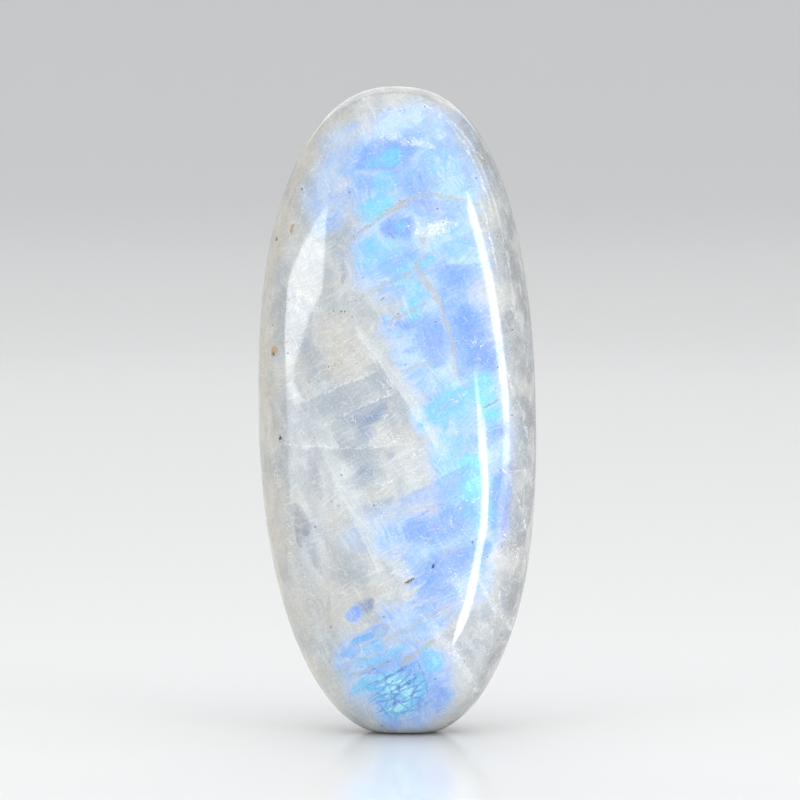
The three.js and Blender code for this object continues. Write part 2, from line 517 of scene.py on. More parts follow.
# Blocks of deeper blue in the painted sheen, with straight sides, cut roughly along the cleavages: the same
# values.
BLUE_BLOCKS = [
    (5.0, 34.4, 2.0, 3.0, 12, 0.5),
    (2.9, 25.9, 1.1, 1.5, 22, 0.5),
    (7.8, 23.8, 1.4, 1.0, 10, 1.0),
    (5.4, 15.9, 2.2, 0.8, 28, 0.5),
    (2.3, 16.2, 2.6, 0.6, 26, 0.5),
    (3.9, 12.9, 2.2, 0.35, 26, 0.6),
    (3.4, 11.6, 2.0, 0.3, 26, 0.6),
    (-3.1, 9.8, 0.6, 0.8, -28, 1.0),
    (-3.4, 6.6, 0.6, 0.4, 28, 0.7),
    (3.8, 4.6, 1.3, 0.5, 30, 0.6),
]

# Soft tones inside the stone: colour, middle, half width, half height, slant and strength.
TONES = [
    (CLOUD, 1.35, 21.6, 2.3, 2.6, 25, 0.25),
    (CLOUD, 4.5, 5.2, 0.9, 3.0, 30, 0.4),
    (CLOUD, 1.0, 9.9, 1.5, 1.6, 0, 0.4),
    (MILK_WARM, -4.0, 29.8, 3.2, 3.4, 20, 0.45),
    (MILK_WARM, -4.8, 10.6, 3.4, 2.4, 10, 0.4),
    (CLOUD, -3.1, 18.8, 1.0, 8.6, 30, 0.6),
    (MILK_DEEP, -4.2, 25.4, 3.2, 1.8, 30, 0.35),
    (SMUDGE, -1.7, 25.4, 1.0, 0.6, 38, 0.6),
    (SMUDGE, -2.5, 24.2, 0.7, 1.0, 20, 0.6),
    (SMUDGE, -0.6, 22.3, 0.5, 0.5, 0, 0.5),
    (SMUDGE, -1.7, 18.2, 1.4, 0.7, 30, 0.5),
    (SMUDGE, -3.0, 20.3, 1.1, 0.7, 35, 0.32),
    (SMOKE, -6.4, 20.4, 0.5, 1.6, 22, 0.4),
    (SMUDGE, -2.4, 10.5, 0.9, 0.7, 35, 0.9),
    (SMOKE, -7.5, 17.0, 0.6, 1.3, 20, 0.8),
    (SMOKE, -8.0, 41.7, 0.6, 1.1, -25, 0.5),
    (SMOKE, 8.4, 32.0, 0.7, 0.9, 0, 0.6),
    (SMOKE, -4.2, 35.9, 0.3, 0.6, 0, 0.45),
]

# Straight edges of the planes inside the stone: colour, the two ends, how far the tone reaches below
# the edge (or above it, where that is less than zero) before it has faded, and strength.
LEDGES = [
    (MILK_DEEP, (-7.6, 25.8), (-1.2, 28.6), 2.4, 0.6),
    (MILK_DEEP, (-8.2, 22.5), (0.2, 22.8), 1.6, 0.4),
    (MILK_DEEP, (-8.6, 22.3), (-5.6, 15.2), -1.4, 0.45),
    (SMUDGE, (-4.4, 25.0), (-0.6, 26.8), 1.4, 0.4),
    (CLOUD, (-2.9, 31.3), (2.7, 23.1), -1.2, 0.55),
    (CLOUD, (-5.9, 22.4), (-1.6, 13.4), -1.6, 0.5),
    # The edges from here on are borders in the painted sheen.
    (SHEEN_DEEP, (2.4, 36.3), (7.4, 36.8), 3.0, 0.5),
    (VIOLET, (1.0, 41.5), (5.4, 41.4), 2.0, 0.3),
    (SHEEN_DEEP, (3.0, 34.6), (4.7, 27.8), -2.4, 0.5),
    (SHEEN_DEEP, (0.3, 18.9), (5.4, 21.5), 1.8, 0.35),
    (SHEEN_CYAN, (2.1, 24.4), (6.0, 26.8), -1.8, 0.32),
]

# Seams of warm grey, fractures that catch the light, and thin dark-blue and violet edges in the painted
# sheen: colour, the places that each one runs through, half width and strength.
VEINS = [
    (SEAM, [(-3.9, 38.1), (-0.9, 40.5)], 0.24, 0.8),
    (SEAM, [(-1.4, 40.1), (1.3, 41.7)], 0.4, 0.9),
    (SEAM, [(1.0, 41.5), (3.2, 43.1)], 0.2, 0.7),
    (SEAM, [(1.0, 41.5), (2.7, 41.9), (4.6, 41.5), (7.4, 40.8)], 0.24, 0.75),
    (SEAM, [(1.0, 41.4), (1.0, 44.6)], 0.24, 0.35),
    (SEAM, [(2.1, 39.4), (1.9, 37.9), (1.4, 36.2)], 0.5, 0.75),
    (SEAM, [(1.3, 36.3), (3.2, 33.8)], 0.6, 0.9),
    (SEAM, [(3.0, 34.2), (4.1, 31.0), (4.5, 28.2)], 0.36, 0.8),
    (SEAM, [(1.2, 36.0), (-0.3, 35.3), (-2.6, 34.1)], 0.4, 0.6),
    (SEAM, [(-0.9, 32.1), (2.1, 33.6)], 0.24, 0.7),
    (SEAM, [(0.2, 28.5), (4.0, 29.8)], 0.24, 0.6),
    (SEAM, [(2.0, 24.9), (3.1, 25.2), (5.0, 26.9)], 0.22, 0.55),
    (SEAM, [(-0.6, 8.0), (3.4, 10.3)], 0.34, 0.6),
    (SEAM, [(0.2, 5.8), (2.9, 7.9)], 0.3, 0.8),
    (SEAM, [(-4.3, 4.7), (0.4, 6.6)], 0.2, 0.6),
    (SEAM, [(-3.9, 7.0), (0.3, 9.5)], 0.16, 0.5),
    (SEAM, [(2.2, 11.4), (5.0, 12.6)], 0.16, 0.7),
    (SEAM, [(1.8, 13.9), (5.4, 15.3)], 0.16, 0.6),
    (SEAM, [(1.6, 12.6), (4.6, 13.9)], 0.14, 0.6),
    (SEAM, [(0.6, 0.9), (3.2, 4.4)], 0.14, 0.35),
    (FRACTURE, [(-3.3, 31.8), (-1.6, 29.0), (1.7, 24.5)], 0.5, 0.25),
    (FRACTURE, [(-3.3, 31.8), (-1.6, 29.0), (1.7, 24.5)], 0.12, 0.4),
    (FRACTURE, [(-6.0, 22.4), (-3.4, 16.8)], 0.5, 0.25),
    (FRACTURE, [(-2.2, 20.8), (0.6, 13.4)], 0.7, 0.22),
    (FRACTURE, [(-8.8, 23.2), (-7.2, 19.4), (-5.9, 16.3)], 0.18, 0.28),
    (FRACTURE, [(-8.6, 22.8), (-5.2, 22.6), (-1.6, 22.7), (0.4, 23.4)], 0.22, 0.42),
    (FRACTURE, [(-4.4, 25.0), (-2.4, 25.9), (-0.4, 26.9)], 0.18, 0.45),
    (FRACTURE, [(-7.6, 25.8), (-4.4, 27.3), (-1.2, 28.6)], 0.16, 0.38),
    (FRACTURE, [(-6.4, 26.0), (-4.4, 22.6), (-3.9, 19.4)], 0.12, 0.35),
    (FRACTURE, [(-7.7, 28.0), (-5.4, 29.4), (-3.4, 30.2)], 0.18, 0.25),
    (FRACTURE, [(-2.8, 19.1), (0.3, 20.5)], 0.16, 0.42),
    (FRACTURE, [(-2.4, 21.2), (1.6, 23.4)], 0.16, 0.35),
    (FRACTURE, [(2.2, 24.6), (3.0, 25.0), (5.2, 26.8)], 0.16, 0.45),
    (FRACTURE, [(4.6, 17.9), (6.5, 19.0)], 0.1, 0.5),
    (FRACTURE, [(-0.6, 13.0), (0.9, 13.3)], 0.4, 0.55),
    (FRACTURE, [(2.9, 9.8), (4.6, 11.0)], 0.16, 0.4),
    (FRACTURE, [(1.7, 9.9), (4.4, 6.8), (6.2, 3.4)], 0.6, 0.45),
    (FRACTURE, [(1.4, 38.9), (4.6, 39.6)], 0.9, 0.6),
    (FRACTURE, [(-0.8, 46.3), (2.8, 45.4)], 0.5, 0.5),
    (FRACTURE, [(6.0, 12.6), (8.8, 8.2)], 0.4, 0.4),
    (FRACTURE, [(4.4, 6.8), (7.6, 9.6)], 0.2, 0.3),
    (FRACTURE, [(5.2, 3.5), (7.0, 6.2), (7.9, 11.2)], 0.2, 0.35),
    (FRACTURE, [(7.6, 21.4), (8.4, 20.6), (9.6, 17.2), (10.1, 15.2)], 0.14, 0.45),
    (FRACTURE, [(8.7, 20.7), (10.7, 20.8)], 0.1, 0.45),
    (FRACTURE, [(10.2, 22.4), (9.3, 25.6), (8.0, 29.4)], 0.12, 0.4),
    (FRACTURE, [(-10.3, 29.7), (-9.6, 29.7)], 0.1, 0.5),
    (FRACTURE, [(-9.5, 32.7), (-8.5, 30.8)], 0.1, 0.4),
    (FRACTURE, [(-3.8, 48.0), (-6.7, 43.2), (-7.4, 39.8)], 0.3, 0.25),
    (FRACTURE, [(-4.6, 47.6), (-1.9, 48.0)], 0.2, 0.35),
    (FRACTURE, [(3.1, 43.4), (4.6, 41.9)], 0.12, 0.4),
    # The arc below is a painted highlight along the top right shoulder, drawn in the fracture colour.
    (FRACTURE, [(2.2, 48.6), (3.9, 47.2), (5.2, 45.5), (6.1, 43.7), (7.2, 40.7)], 0.16, 0.45),
    (FRACTURE, [(4.4, 47.2), (5.8, 45.4), (7.0, 43.7)], 0.1, 0.5),
    (FRACTURE, [(6.4, 41.2), (7.0, 39.0), (7.5, 36.2)], 0.12, 0.6),
    (FRACTURE, [(-3.0, 49.0), (-1.9, 49.2)], 0.3, 0.45),
    (FRACTURE, [(-7.0, 10.1), (-5.2, 6.3)], 0.16, 0.3),
    (FRACTURE, [(-6.6, 11.1), (-1.5, 12.0)], 0.16, 0.22),
    (FRACTURE, [(-2.9, 8.0), (-2.4, 5.2)], 0.12, 0.4),
    (INK, [(6.5, 25.7), (7.8, 26.2)], 0.12, 0.7),
    (INK, [(-2.4, 4.0), (1.5, 6.2)], 0.18, 0.6),
    (INK, [(-1.9, 2.9), (1.9, 5.0)], 0.18, 0.6),
    (INK, [(-1.6, 1.9), (1.9, 3.9)], 0.16, 0.55),
    (INK, [(-2.9, 4.9), (-0.2, 6.4)], 0.14, 0.45),
    (INK, [(1.6, 6.2), (2.4, 3.5)], 0.14, 0.5),
    (INK, [(-1.4, 2.6), (-0.3, 1.2)], 0.12, 0.5),
    (INK, [(-0.7, 40.0), (-0.8, 39.2), (-0.2, 38.4)], 0.16, 0.5),
    (INK, [(8.4, 19.6), (8.2, 17.8), (8.4, 16.6)], 0.3, 0.4),
    (VIOLET, [(4.7, 44.4), (5.8, 42.4)], 0.26, 0.5),
    (VIOLET, [(8.1, 19.4), (8.2, 15.6)], 0.8, 0.4),
]

# Mineral specks: colour, middle, half width, half height and slant.
SPECKS = {
    FRONT: [
        (RUST, -7.3, 42.2, 0.09, 0.14, -20),
        (RUST, -9.25, 38.3, 0.08, 0.17, -20),
        (RUST, -8.3, 33.8, 0.09, 0.09, 0),
        (RUST, -9.55, 31.8, 0.09, 0.09, 0),
        (RUST, -4.25, 33.0, 0.09, 0.07, 0),
        (RUST, -4.0, 33.0, 0.08, 0.08, 0),
        (RUST, -3.4, 32.6, 0.1, 0.09, 20),
        (RUST, -5.2, 28.8, 0.08, 0.09, 0),
        (RUST, -1.1, 34.0, 0.2, 0.06, 40),
        (RUST, -8.95, 23.15, 0.14, 0.2, 0),
        (RUST, -5.0, 18.5, 0.09, 0.09, 0),
        (RUST, -4.5, 18.2, 0.08, 0.06, 0),
        (OCHRE, -8.05, 39.2, 0.14, 0.4, -20),
        (OCHRE, -9.4, 29.9, 0.34, 0.42, -20),
        (RUST, -9.5, 29.55, 0.16, 0.14, 0),
        (OCHRE, -8.4, 30.6, 0.24, 0.1, 35),
        (OCHRE, -6.7, 27.6, 0.14, 0.14, 0),
        (RUST, 0.95, 12.5, 0.36, 0.11, 25),
        (RUST, 2.7, 13.6, 0.12, 0.22, -25),
        (OCHRE, 0.75, 12.35, 0.2, 0.1, 10),
    ],
    BACK: [
        (RUST, -3.1, 33.6, 0.12, 0.22, 30),
        (OCHRE, -2.9, 33.2, 0.26, 0.2, 10),
        (RUST, 4.4, 14.8, 0.26, 0.1, 20),
        (RUST, 6.8, 27.9, 0.1, 0.1, 0),
        (RUST, 5.9, 30.3, 0.08, 0.12, 0),
        (OCHRE, 7.4, 22.0, 0.14, 0.3, -15),
    ],
}

# Thin trails of rusty dust: the places that each one runs through, half width and strength.
STAINS = [
    ([(-0.1, 35.6), (-2.6, 34.2), (-5.8, 32.4)], 0.28, 1.0),
    ([(-3.4, 30.0), (-5.8, 28.0), (-8.2, 25.2)], 0.28, 1.0),
    ([(-8.7, 25.6), (-8.9, 21.0), (-8.3, 15.6)], 0.28, 1.0),
    ([(-9.4, 31.4), (-8.4, 33.8), (-6.6, 34.6)], 0.35, 0.9),
    ([(-3.6, 38.3), (-0.9, 40.6), (1.0, 41.6)], 0.3, 0.8),
    ([(0.4, 12.3), (2.9, 13.9)], 0.4, 0.8),
    ([(-7.6, 13.6), (-6.4, 9.0)], 0.5, 0.6),
]

# Clusters of painted glints, bright flecks where the stone sparkles: middle, half width, half height and
# slant.
SPARKLES = [
    (-0.7, 46.1, 0.9, 0.5, 20),
    (1.5, 45.8, 1.0, 0.4, -15),
    (6.0, 30.4, 0.7, 0.6, 20),
    (0.6, 12.9, 0.5, 0.4, 0),
    (4.6, 12.1, 0.7, 1.8, 20),
    (8.2, 15.9, 0.7, 0.7, 0),
    (8.9, 14.6, 0.6, 0.9, 10),
    (0.9, 21.9, 1.2, 1.2, 20),
    (-3.4, 22.7, 3.2, 0.25, 2),
    (-3.6, 24.7, 0.6, 0.5, 0),
    (-9.2, 20.4, 0.5, 1.2, 10),
    (-8.3, 16.4, 0.35, 2.2, 5),
    (-8.2, 14.0, 0.5, 0.6, 0),
    (-0.6, 23.5, 1.1, 0.5, 10),
    (1.3, 39.5, 0.8, 0.6, 0),
    (2.6, 39.2, 1.6, 0.5, 12),
    (4.4, 6.8, 0.8, 1.0, 0),
]

# Where the sheen is broken up by a net of dark-blue cracks: middle, half sizes, slant, strength.
CRACKED_PLACES = [
    (0.2, 3.7, 3.1, 3.0, 30, 1.0),
]

# Where the sheen comes in parallel bars, one under another: the same values.
BARRED_PLACES = [
    (2.8, 11.6, 4.6, 3.4, 20, 1.0),
    (-2.6, 6.8, 2.6, 3.4, 20, 0.9),
    (-1.2, 33.4, 3.0, 3.0, 0, 0.5),
]


def slanted(degrees):
    """The unit vector of the front plane that rises so many degrees from +X."""
    angle = math.radians(degrees)
    return Vector((math.cos(angle), 0, math.sin(angle)))


OVAL = shared_group(
    "oval",
    ["Place", "First", "Second"],
    ["Edge", "Core", "Strength"],
    lambda place, first, second, edge, core, strength: (
        place.distance(first) + place.distance(second)
    ).step(edge, core, 0.0, strength),
)
BLOCK = shared_group(
    "block",
    ["Place", "Middle", "Across", "Up"],
    ["Strength"],
    lambda place, middle, across, up, strength: abs(place.minus(middle).along(across))
    .at_least(abs(place.minus(middle).along(up)))
    .step(1.0, 0.0, 0.0, strength),
)


def oval(flat, x, z, wide, tall, turn=0.0, inner=0.0, strength=1.0):
    """Full in the middle of an oval and 0 from its edge on, by the distances to its two foci."""
    long, short = max(wide, tall), min(wide, tall)
    focus = math.sqrt(long**2 - short**2)
    middle, offset = Vector((x, 0, z)), slanted(turn if wide > tall else turn + 90) * focus
    inputs = {
        "Place": flat,
        "First": middle + offset,
        "Second": middle - offset,
        "Edge": 2 * long,
        "Core": 2 * math.hypot(focus, inner * short),
        "Strength": strength,
    }
    return flat.patterns.node("ShaderNodeGroup", {"node_tree": OVAL}, inputs)


def block(flat, x, z, wide, tall, turn=0.0, strength=1.0):
    """Full in the middle of a rectangle and 0 outside it."""
    inputs = {
        "Place": flat,
        "Middle": (x, 0, z),
        "Across": slanted(turn) / wide,
        "Up": slanted(turn + 90) / tall,
        "Strength": strength,
    }
    return flat.patterns.node("ShaderNodeGroup", {"node_tree": BLOCK}, inputs)


def strand(flat, places, width, strength=1.0):
    """A line from place to place, a chain of long thin ovals that run a little into each other."""
    pieces = []
    for (x1, z1), (x2, z2) in zip(places, places[1:]):
        reach = NEEDLE_REACH * math.hypot(x2 - x1, z2 - z1)
        turn = math.degrees(math.atan2(z2 - z1, x2 - x1))
        pieces.append(oval(flat, (x1 + x2) / 2, (z1 + z2) / 2, reach, width, turn, 0.0, strength))
    return highest(pieces)


def ledge(flat, start, end, reach, strength):
    """A straight edge, full at it and fading below it, or above it where reach is less than zero."""
    (x1, z1), (x2, z2) = sorted((start, end))
    turn = math.degrees(math.atan2(z2 - z1, x2 - x1))
    middle, half = Vector(((x1 + x2) / 2, 0, (z1 + z2) / 2)), math.hypot(x2 - x1, z2 - z1) / 2
    side = slanted(turn + (90 if reach < 0 else -90))
    soft = oval(flat, middle.x, middle.z, LEDGE_REACH * half, abs(reach), turn, 0.1, strength)
    return soft * flat.minus(middle).along(side).step(-LEDGE_EDGE, LEDGE_EDGE)


def highest(values):
    """The largest of some wires. Each is taken up as it is made, so few have to be kept at once."""
    top = None
    for value in values:
        top = value if top is None else top.at_least(value)
    return top


class Ground:
    """What the stone's colours are drawn on: its points in millimetres, and its two faces."""

    def __init__(self, finish):
        self.finish = finish
        self.point = finish.place(finish.node("ShaderNodeTexCoord", output="Object"), size=(MM, MM, MM))
        broad = finish.noise(self.point, BROAD_SIZE, 1.0, output="Color")
        close = finish.noise(self.point, CLOSE_SIZE, 2.0, 0.65, output="Color")
        small = finish.noise(self.point, SMALL_SIZE, 2.0, 0.75, output="Color")
        self.loose = self.pushed(broad, BROAD_PUSH)
        self.tight = self.pushed(close, CLOSE_PUSH)
        self.fine = self.pushed(small, SMALL_PUSH)
        self.x, self.y, self.z = finish.parts(self.point)
        self.gates = {face: (self.y * face).step(-FACE_OVERLAP / 2, FACE_OVERLAP) for face in (FRONT, BACK)}
        behind = finish.scaled(PLANE_SLANT, self.y.at_least(0.0))
        self.loose_flat, self.tight_flat = (
            finish.vector("MULTIPLY_ADD", place, (1, 0, 1), behind) for place in (self.loose, self.tight)
        )
        self.fine_flat, self.point_flat = (
            finish.vector("MULTIPLY", place, (1, 0, 1)) for place in (self.fine, self.point)
        )
        self.drift, self.patch, self.warmth = finish.channels(broad)[:3]
        self.mottle, self.spread = finish.channels(close)[:2]
        self.grain, self.crumble, self.dots = finish.channels(small)[:3]
        self.crumbs = self.crumble.step(0.36, 0.62)
        fibres = finish.noise(self.cleaved(self.loose, FIBRE_STRETCH), FIBRE_SIZE, 2.0, 0.7)
        silk = finish.noise(self.cleaved(self.loose, SILK_STRETCH, 5.0), SILK_SIZE, 2.0, 0.7)
        self.fibres = fibres + (silk - fibres) * self.patch.step(0.47, 0.56)
        self.plates = finish.noise(self.cleaved(self.loose, PLATE_STRETCH), PLATE_SIZE, 1.0)

    def pushed(self, push, amount):
        """The points pushed about by noise, so that straight edges wander."""
        push = self.finish.vector("SUBTRACT", push, (0.5, 0.5, 0.5))
        return self.finish.vector("ADD", self.point, self.finish.scaled(push, amount))

    def on_faces(self, places, draw):
        """The highest of the marks that draw makes at the places, each kept to its own face."""
        return highest(
            highest(draw(*place) for place in places[face]) * self.gates[face] for face in (FRONT, BACK)
        )

    def cleaved(self, point, stretch, shift=0.0):
        """Points stretched along the cleavages, for what follows the crystal, and shifted for a new
        pattern."""
        return self.finish.place(point, (shift, 0, 0), (0, -CLEAVAGE_TURN, 0), stretch)

    def cells(self, size, along, turn, settings, output="Distance"):
        """A mosaic of long cells that run right through the stone, slanted by turn degrees. Each slant
        starts elsewhere, so that no two mosaics look alike."""
        placed = self.finish.place(self.tight, (turn, 0, 0), (90, -turn, 0), (along, 1, 1))
        settings = {"voronoi_dimensions": "2D", **settings}
        inputs = {"Vector": placed, "Scale": 1 / size, "Randomness": DISORDER}
        return self.finish.node("ShaderNodeTexVoronoi", settings, inputs, output)

    def crack_web(self, size, along, turn, width):
        """The edges of such cells, as thin lines."""
        return self.cells(size, along, turn, {"feature": "DISTANCE_TO_EDGE"}).step(width, 0.0)


def own(rows, colour):
    """The rows of one colour, without that colour."""
    return [rest for mine, *rest in rows if mine is colour]


def milky_body(finish, ground):
    """Grey milk with clouds, warm patches, and fibres and plates along the cleavages."""
    bands = finish.noise(ground.cleaved(ground.loose, BAND_STRETCH, 3.0), BAND_SIZE, 2.0, 0.65)
    body = finish.mix(bands.step(0.36, 0.64), MILK_DEEP, MILK)
    body = finish.mix(ground.warmth.step(0.48, 0.66) * 0.35, body, MILK_WARM)
    body = finish.mix(ground.plates.step(0.52, 0.78) * 0.35, body, CLOUD)
    for colour, x, z, wide, tall, turn, strength in TONES:
        mask = oval(ground.loose_flat, x, z, wide * 1.2, tall * 1.2, turn, 0.1, 2.0 * strength)
        body = finish.mix(mask * ground.mottle, body, colour)
    return finish.mix(ground.fibres.step(0.48, 0.72) * 0.35, body, CLOUD)


def blue_sheen(finish, ground):
    """The sheen's colour and how far it covers the milk."""
    loose, tight = ground.loose_flat, ground.tight_flat

    def soft(places, flat=loose, core=0.0):
        return highest(oval(flat, *place[:5], core, place[5]) for place in places)

    rough = (ground.mottle - 0.5) * 0.7 + (ground.fibres - 0.5) * 1.0
    settings = {"distance": "CHEBYCHEV", "feature": "F1"}
    mosaic = ground.cells(CRYSTAL_SIZE, CRYSTAL_LENGTH, CLEAVAGE_TURN, settings, "Color")
    crystals = finish.channels(mosaic)[0] - 0.5
    netted = soft(CRACKED_PLACES, tight, 0.3)
    field, deep, flash = soft(SHEEN_FIELDS), soft(DEEP_PLACES), soft(FLASH_PLACES)
    blocks = highest(block(tight, *place) for place in BLUE_BLOCKS)

    pale = ground.drift * 0.6 + ground.mottle * 0.4 + rough * 0.25 + crystals * 0.12
    colour = finish.mix(pale.step(0.34, 0.66), SHEEN_MID, SHEEN_PALE)
    depth = deep.at_least(blocks) + crystals * 0.16 - rough * 0.5
    colour = finish.mix(depth.step(-0.1, 1.3), colour, SHEEN_DEEP)
    bright = flash + crystals * (0.14 + 0.8 * netted) - rough * 0.9 + (ground.grain - 0.5) * 0.6
    colour = finish.mix(bright.step(0.0, 1.0) * 0.85, colour, SHEEN_CYAN)
    colour = finish.mix(bright.step(0.85, 1.5), colour, SHEEN_GLINT)
    colour = finish.mix(crystals.step(-0.2, -0.5) * 0.2, colour, VIOLET)

    # At its brightest the painted sheen is broken into small cells by two nets of dark-blue cracks.
    net = ground.crack_web(NET_SIZE, NET_LENGTH, CLEAVAGE_TURN, NET_WIDTH)
    steep = ground.crack_web(STEEP_NET_SIZE, STEEP_NET_LENGTH, STEEP_TURN, STEEP_NET_WIDTH)
    colour = finish.mix(net.at_least(steep) * netted * 0.6, colour, INK)

    bars = finish.noise(ground.cleaved(ground.tight, BAR_STRETCH, 4.0), BAR_SIZE, 1.0)
    barred = soft(BARRED_PLACES, loose, 0.3)
    cover = 1.2 * field.at_least(blocks) - ground.plates.step(0.5, 0.75) * 0.2
    cover = cover - (ground.fibres - 0.5) * 0.6 - bars.step(0.54, 0.6) * barred * 0.3
    colour = finish.mix(cover.step(0.8, 0.1), colour, SHEEN_HAZE)
    return colour, cover.step(-0.05, 0.95)


def cloudy_rind(finish, ground):
    """The rim between the two faces: its colour, with streaks that run round it and painted shade on its
    right side and right edge, and its share.
    """
    ends = (abs(ground.z - STONE_HEIGHT / 2) / (STONE_HEIGHT / 2)) ** 3
    inward = abs(ground.y) - ground.x * RIND_RIGHT + ends * RIND_AT_ENDS
    inward = inward + (ground.drift - 0.5) * RIND_WANDER
    share = inward.step(RIND_START, RIND_FULL)
    spoke = finish.vector("SUBTRACT", ground.point_flat, (0, 0, STONE_HEIGHT / 2))
    spoke = finish.vector("MULTIPLY", spoke, (STONE_HEIGHT / STONE_WIDTH, 0, 1))
    round_it = finish.scaled(finish.vector("NORMALIZE", spoke), STREAKS_ROUND)
    round_it = finish.vector("ADD", round_it, finish.vector("MULTIPLY", ground.tight, STREAK_STRETCH))
    streaks = finish.noise(round_it, STREAK_SIZE, 2.0, 0.7)
    # Painted shade: the rind is darker and cooler towards the right, and darker still near its right edge;
    # warm is its unshaded left.
    warm = ground.x.step(2.0, -8.0)
    colour = finish.mix(0.1 + 0.9 * warm, RIND_SHADED, RIND)
    clear = ground.patch.step(0.44, 0.62)
    dark = streaks.step(0.5, 0.28) * 0.3 + clear * 0.25 + inward.step(RIND_FULL, 0.0) * (1 - warm) * 0.4
    colour = finish.mix(dark, colour, RIND_DARK)
    pale = streaks.step(0.52, 0.74) * 0.5 + ground.warmth.step(0.5, 0.64) * 0.35
    return finish.mix(pale, colour, RIND_PALE), share * (0.95 - clear * 0.3)


def polish(finish, ground):
    """Roughness and fine relief: scratches, a fine grain and dull hollows."""
    stretched = finish.place(ground.point, turns=(0, -SCRATCH_TURN, 0), size=SCRATCH_STRETCH)
    scratches = finish.noise(stretched, SCRATCH_SIZE, 1.0, 0.6)
    dull = highest(
        oval(
            ground.point_flat,
            hollow["x"],
            hollow["z"],
            hollow["wide"] * DULL_REACH,
            hollow["tall"] * DULL_REACH,
            hollow["turn"],
            inner=0.5,
        )
        * ground.gates[hollow["face"]]
        for hollow in HOLLOWS
    )
    roughness = POLISHED + scratches.step(0.55, 0.75) * SCRATCHED + ground.grain * GRAINY
    relief = {"Strength": SCRATCH_STRENGTH, "Distance": SCRATCH_DEPTH * MM, "Height": scratches}
    return roughness + dull * UNPOLISHED, finish.node("ShaderNodeBump", None, relief)


def straight_edges(finish, ground, colour):
    """The colour with the edges of cleavage planes drawn on it."""
    for tone in LEDGE_COLOURS:
        edges = highest(ledge(ground.tight_flat, *place) for place in own(LEDGES, tone))
        colour = finish.mix(edges * (0.7 + ground.mottle * 0.6), colour, tone)
    return colour


def hairlines_and_veins(finish, ground, colour, rind):
    """The colour with a web of hairlines that comes and goes, fractures and seams over it, and painted
    glints.
    """
    crumbs, broken = ground.crumbs, ground.spread.step(0.36, 0.6)
    web = ground.crack_web(WEB_SIZE, WEB_LENGTH, CLEAVAGE_TURN, HAIRLINE_WIDTH)
    web = web * ground.patch.step(0.4, 0.6)
    cross_web = ground.crack_web(CROSS_WEB_SIZE, CROSS_WEB_LENGTH, CROSS_WEB_TURN, HAIRLINE_WIDTH)
    cross_web = cross_web * ground.patch.step(0.56, 0.38)
    colour = finish.mix(web.at_least(cross_web) * crumbs * broken * (0.6 - rind * 0.3), colour, FRACTURE)
    for vein_colour, cover in VEIN_COVERS:
        lines = highest(strand(ground.tight_flat, *vein) for vein in own(VEINS, vein_colour))
        ragged = (lines * 1.6 + crumbs * 0.6 + broken * 0.4 - 0.9).step(0.0, 1.2)
        colour = finish.mix(ragged * ground.mottle * (2.0 * cover), colour, vein_colour)
    # Painted glints at the sparkle places, over faint bright flecks all over.
    sparkle = highest(oval(ground.tight_flat, *place, 0.1) for place in SPARKLES)
    return finish.mix(ground.crumble.step(0.56, 0.64) * (0.16 + 0.8 * sparkle), colour, FRACTURE)


def mineral_specks(finish, ground, colour):
    """The colour with specks on it, trails of their dust and a few tiny ones anywhere."""
    trails = highest(strand(ground.tight_flat, *stain) for stain in STAINS)
    colour = finish.mix(trails * ground.dots.step(0.58, 0.68) * 0.6, colour, OCHRE)
    colour = finish.mix(trails * ground.grain.step(0.36, 0.31) * 0.8, colour, RUST)
    for speck_colour in (OCHRE, RUST):
        rows = {face: own(SPECKS[face], speck_colour) for face in (FRONT, BACK)}
        specks = ground.on_faces(rows, lambda *place: oval(ground.fine_flat, *place, 0.3))
        colour = finish.mix(specks * (0.45 + 0.6 * ground.crumbs), colour, speck_colour)
    dust = ground.cells(DUST_SPACING, 1.0, 0.0, {"feature": "F1"}).step(0.045, 0.02)
    return finish.mix(dust * ground.spread.step(0.54, 0.6) * 0.7, colour, RUST)


def moonstone():
    """The stone's one material: milk, sheen and rind, the marks on them, and a fine grain."""
    material = bpy.data.materials.new("moonstone")
    material.use_nodes = True
    finish = Patterns(material.node_tree)
    ground = Ground(finish)

    rind_colour, rind = cloudy_rind(finish, ground)
    # The blue sheen is painted into the colour, over the milk.
    sheen_colour, sheen = blue_sheen(finish, ground)
    colour = finish.mix(sheen * (1 - rind), milky_body(finish, ground), sheen_colour)
    colour = straight_edges(finish, ground, colour)
    colour = finish.mix(rind * 0.9, colour, rind_colour)
    colour = hairlines_and_veins(finish, ground, colour, rind)
    colour = mineral_specks(finish, ground, colour)
    colour = finish.scaled(colour, DIMMEST + ground.grain * GRAIN_LIGHT + ground.fibres * FIBRE_LIGHT)

    roughness, bump = polish(finish, ground)
    shader = finish.tree.nodes.new("ShaderNodeBsdfPrincipled")
    shader.subsurface_method = "RANDOM_WALK"
    constants = {
        "IOR": REFRACTION,
        "Subsurface Weight": MILKINESS,
        "Subsurface Radius": MILK_DEPTH_BY_COLOUR,
        "Subsurface Scale": MILK_DEPTH * MM,
    }
    for name, value in constants.items():
        shader.inputs[name].default_value = value
    for name, value in {"Base Color": colour, "Roughness": roughness, "Normal": bump}.items():
        finish.tree.links.new(value.socket, shader.inputs[name])
    output = finish.tree.nodes.new("ShaderNodeOutputMaterial")
    finish.tree.links.new(shader.outputs[0], output.inputs[0])
    return material


# ---------------------------------------------------------------------------------------------
# Studio
# ---------------------------------------------------------------------------------------------

